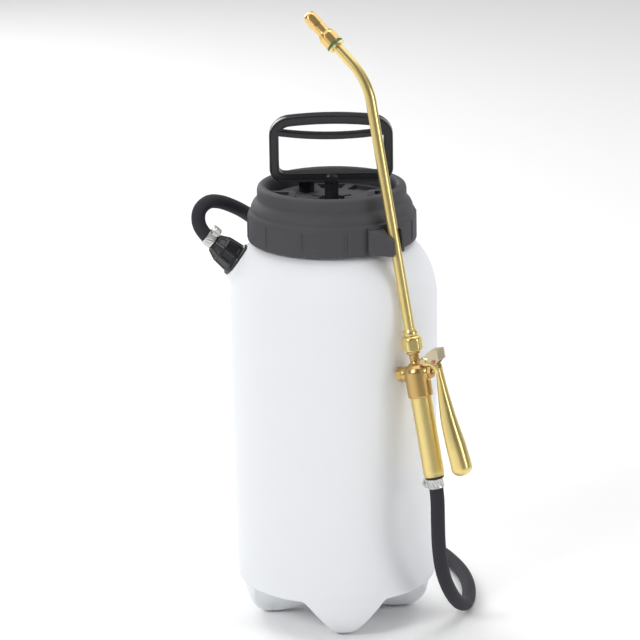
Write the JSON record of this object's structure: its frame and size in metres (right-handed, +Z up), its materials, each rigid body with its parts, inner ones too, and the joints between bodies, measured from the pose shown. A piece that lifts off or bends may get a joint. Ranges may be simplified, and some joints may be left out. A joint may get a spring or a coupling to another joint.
{
  "type": "pressure sprayer",
  "caption": "Hand-pumped pressure sprayer: a footed tank with a filling funnel, a screw-in piston pump, a hose and a trigger wand parked in a clip.",
  "frame": {"origin": "on the tank's axis in the plane of the foot pads", "axes": "+Z up along the tank's axis, the outlet towards -X, the pump handle's loop in the XZ plane, the wand's clip towards +X and -Y"},
  "size_m": [0.2721, 0.3337, 0.6006],
  "materials": {
    "tank_plastic": "satin, translucent white",
    "collar_plastic": "fine matte charcoal",
    "gloss_black": "glossy black",
    "inner_plastic": "natural plastic",
    "seal_rubber": "matte",
    "hose_rubber": "matte black",
    "green_rubber": "satin",
    "red_plastic": "glossy",
    "polished_brass": "bright polished",
    "cast_brass": "sand-cast, matte",
    "nozzle_brass": "turned, lightly polished",
    "zinc_steel": "yellow zinc chromate",
    "spring_steel": "drawn wire",
    "stainless": "bright band",
    "copper_rivet": "copper red"
  },
  "bodies": {
    "tank": {"tank": "tank_plastic", "collar": "collar_plastic", "lance_clip": "collar_plastic", "clip_screws": "zinc_steel", "outlet_gasket": "seal_rubber", "outlet_spigot": "inner_plastic", "outlet_nut": "gloss_black", "outlet_clamp": "stainless", "outlet_clamp_screw": "stainless", "dip_tube": "inner_plastic", "dip_filter": "inner_plastic", "hose": "hose_rubber"},
    "seal": {"pump_seal": "seal_rubber"},
    "pump": {"pump_head": "collar_plastic", "pump_barrel": "inner_plastic", "rod_bush": "inner_plastic", "foot_valve": "seal_rubber", "relief_body": "gloss_black", "relief_spring": "spring_steel"},
    "relief": {"relief_seal": "seal_rubber", "relief_stem": "inner_plastic", "relief_knob": "gloss_black", "relief_mark": "red_plastic"},
    "piston": {"piston": "inner_plastic", "piston_cup": "seal_rubber", "piston_nut": "inner_plastic"},
    "plunger": {"pump_rod": "gloss_black", "handle": "gloss_black", "handle_pin": "zinc_steel"},
    "wand": {"lance_tube": "polished_brass", "lance_ferrule": "polished_brass", "lance_nut": "polished_brass", "nozzle_seat": "polished_brass", "nozzle_oring": "green_rubber", "swirl_core": "nozzle_brass", "valve_body": "cast_brass", "valve_plug": "cast_brass", "valve_spring": "spring_steel", "gland_nut": "cast_brass", "gland_packing": "seal_rubber", "lever_pin": "zinc_steel", "grip_tube": "polished_brass", "grip_filter": "inner_plastic", "hose_tail": "polished_brass", "grip_washer": "seal_rubber", "hose_clamp": "stainless", "hose_clamp_screw": "stainless", "hose_end": "hose_rubber"},
    "nozzle_seal": {"nozzle_washer": "seal_rubber"},
    "nozzle": {"nozzle_cap": "nozzle_brass"},
    "lever": {"trigger_lever": "polished_brass", "lock_rivet": "copper_rivet"},
    "lock": {"trigger_lock": "zinc_steel"},
    "stem": {"valve_stem": "cast_brass", "valve_disc": "seal_rubber"}
  },
  "joints": [
    {"name": "pump_rise", "type": "slide", "parent": "tank", "child": "seal", "axis": [0, 0, 1], "range_m": [0, 0.01021]},
    {"name": "pump_turn", "type": "hinge", "parent": "seal", "child": "pump", "pos_m": [0, 0, 0.4], "axis": [0, 0, 1], "range_deg": [0, 720]},
    {"name": "pump_stroke", "type": "slide", "parent": "pump", "child": "piston", "axis": [0, 0, 1], "range_m": [0, 0.236]},
    {"name": "handle_turn", "type": "hinge", "parent": "piston", "child": "plunger", "pos_m": [0, 0, 0.44], "axis": [0, 0, 1], "continuous": true},
    {"name": "relief_lift", "type": "slide", "parent": "pump", "child": "relief", "axis": [0, 0, 1], "range_m": [0, 0.003], "stiffness_N_per_m": 300, "springref_m": -0.003, "deforming": ["relief_spring"]},
    {"name": "wand_unclip", "type": "slide", "parent": "tank", "child": "wand", "axis": [0.6186, -0.7857, 0], "range_m": [0, 0.06]},
    {"name": "trigger_squeeze", "type": "hinge", "parent": "wand", "child": "lever", "pos_m": [0.08603, -0.0938, 0.27982], "axis": [0.422, 0.9049, -0.0555], "range_deg": [0, 5], "stiffness_Nm_per_rad": 2, "springref_deg": -8.59},
    {"name": "valve_push", "type": "slide", "parent": "wand", "child": "stem", "axis": [-0.8933, 0.4046, -0.1958], "range_m": [0, 0.00104], "deforming": ["valve_spring"]},
    {"name": "lock_flip", "type": "hinge", "parent": "lever", "child": "lock", "pos_m": [0.09557, -0.09817, 0.2809], "axis": [-0.422, -0.9049, 0.0555], "range_deg": [0, 18]},
    {"name": "nozzle_advance", "type": "slide", "parent": "wand", "child": "nozzle_seal", "axis": [-0.6502, 0.3447, 0.677], "range_m": [0, 0.0015]},
    {"name": "nozzle_turn", "type": "hinge", "parent": "nozzle_seal", "child": "nozzle", "pos_m": [0.00711, -0.03924, 0.56936], "axis": [-0.6502, 0.3447, 0.677], "range_deg": [0, 545]}
  ],
  "couplings": [
    {"joint": "pump_rise", "follows": "pump_turn", "m_per_rad": 0.00079577},
    {"joint": "valve_push", "follows": "trigger_squeeze", "m_per_rad": 0.0116},
    {"joint": "nozzle_turn", "follows": "nozzle_advance", "rad_per_m": 6283.2}
  ]
}
